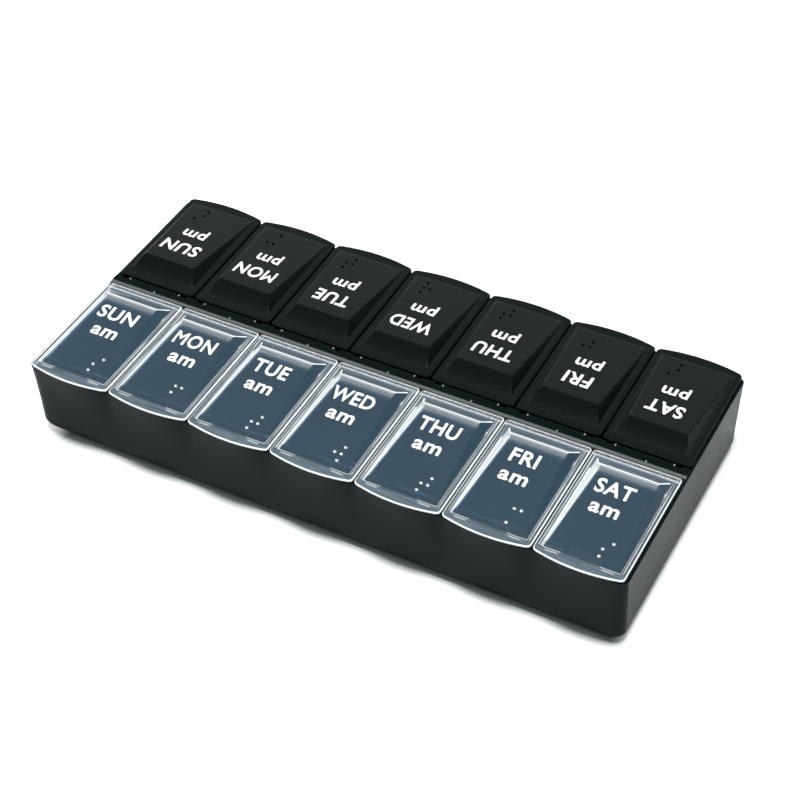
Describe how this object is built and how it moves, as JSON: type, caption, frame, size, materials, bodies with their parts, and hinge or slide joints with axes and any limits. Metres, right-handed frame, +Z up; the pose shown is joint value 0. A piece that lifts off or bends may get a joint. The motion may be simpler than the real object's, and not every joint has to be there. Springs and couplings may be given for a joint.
{
  "type": "weekly pill organizer",
  "caption": "Long shallow tray with two facing rows of wells and a low wedge-topped lid hinged over each well along a central spine.",
  "frame": {"origin": "centre of the tray's footprint, on the surface that it stands on", "axes": "+X along the week, from the Sunday end to the Saturday end; +Y from the am row to the pm row; +Z up"},
  "size_m": [0.2116, 0.1034, 0.0339],
  "materials": {
    "black_plastic": "satin moulded",
    "smoky_plastic": "polished, translucent smoke grey",
    "white_print": "screen-printed ink"
  },
  "bodies": {
    "tray": {"tray": "black_plastic"},
    "sun_am_lid": {"sun_am_lid": "smoky_plastic"},
    "mon_am_lid": {"mon_am_lid": "smoky_plastic"},
    "tue_am_lid": {"tue_am_lid": "smoky_plastic"},
    "wed_am_lid": {"wed_am_lid": "smoky_plastic"},
    "thu_am_lid": {"thu_am_lid": "smoky_plastic"},
    "fri_am_lid": {"fri_am_lid": "smoky_plastic"},
    "sat_am_lid": {"sat_am_lid": "smoky_plastic"},
    "sun_pm_lid": {"sun_pm_lid": "black_plastic"},
    "mon_pm_lid": {"mon_pm_lid": "black_plastic"},
    "tue_pm_lid": {"tue_pm_lid": "black_plastic"},
    "wed_pm_lid": {"wed_pm_lid": "black_plastic"},
    "thu_pm_lid": {"thu_pm_lid": "black_plastic"},
    "fri_pm_lid": {"fri_pm_lid": "black_plastic"},
    "sat_pm_lid": {"sat_pm_lid": "black_plastic"}
  },
  "joints": [
    {"name": "sun_am_hinge", "type": "hinge", "parent": "tray", "child": "sun_am_lid", "pos_m": [-0.09, -0.0067, 0.0277], "axis": [-1, 0, 0], "range_deg": [0, 90]},
    {"name": "mon_am_hinge", "type": "hinge", "parent": "tray", "child": "mon_am_lid", "pos_m": [-0.06, -0.0067, 0.0277], "axis": [-1, 0, 0], "range_deg": [0, 90]},
    {"name": "tue_am_hinge", "type": "hinge", "parent": "tray", "child": "tue_am_lid", "pos_m": [-0.03, -0.0067, 0.0277], "axis": [-1, 0, 0], "range_deg": [0, 90]},
    {"name": "wed_am_hinge", "type": "hinge", "parent": "tray", "child": "wed_am_lid", "pos_m": [0, -0.0067, 0.0277], "axis": [-1, 0, 0], "range_deg": [0, 90]},
    {"name": "thu_am_hinge", "type": "hinge", "parent": "tray", "child": "thu_am_lid", "pos_m": [0.03, -0.0067, 0.0277], "axis": [-1, 0, 0], "range_deg": [0, 90]},
    {"name": "fri_am_hinge", "type": "hinge", "parent": "tray", "child": "fri_am_lid", "pos_m": [0.06, -0.0067, 0.0277], "axis": [-1, 0, 0], "range_deg": [0, 90]},
    {"name": "sat_am_hinge", "type": "hinge", "parent": "tray", "child": "sat_am_lid", "pos_m": [0.09, -0.0067, 0.0277], "axis": [-1, 0, 0], "range_deg": [0, 90]},
    {"name": "sun_pm_hinge", "type": "hinge", "parent": "tray", "child": "sun_pm_lid", "pos_m": [-0.09, 0.0067, 0.0277], "axis": [1, 0, 0], "range_deg": [0, 90]},
    {"name": "mon_pm_hinge", "type": "hinge", "parent": "tray", "child": "mon_pm_lid", "pos_m": [-0.06, 0.0067, 0.0277], "axis": [1, 0, 0], "range_deg": [0, 90]},
    {"name": "tue_pm_hinge", "type": "hinge", "parent": "tray", "child": "tue_pm_lid", "pos_m": [-0.03, 0.0067, 0.0277], "axis": [1, 0, 0], "range_deg": [0, 90]},
    {"name": "wed_pm_hinge", "type": "hinge", "parent": "tray", "child": "wed_pm_lid", "pos_m": [0, 0.0067, 0.0277], "axis": [1, 0, 0], "range_deg": [0, 90]},
    {"name": "thu_pm_hinge", "type": "hinge", "parent": "tray", "child": "thu_pm_lid", "pos_m": [0.03, 0.0067, 0.0277], "axis": [1, 0, 0], "range_deg": [0, 90]},
    {"name": "fri_pm_hinge", "type": "hinge", "parent": "tray", "child": "fri_pm_lid", "pos_m": [0.06, 0.0067, 0.0277], "axis": [1, 0, 0], "range_deg": [0, 90]},
    {"name": "sat_pm_hinge", "type": "hinge", "parent": "tray", "child": "sat_pm_lid", "pos_m": [0.09, 0.0067, 0.0277], "axis": [1, 0, 0], "range_deg": [0, 90]}
  ]
}
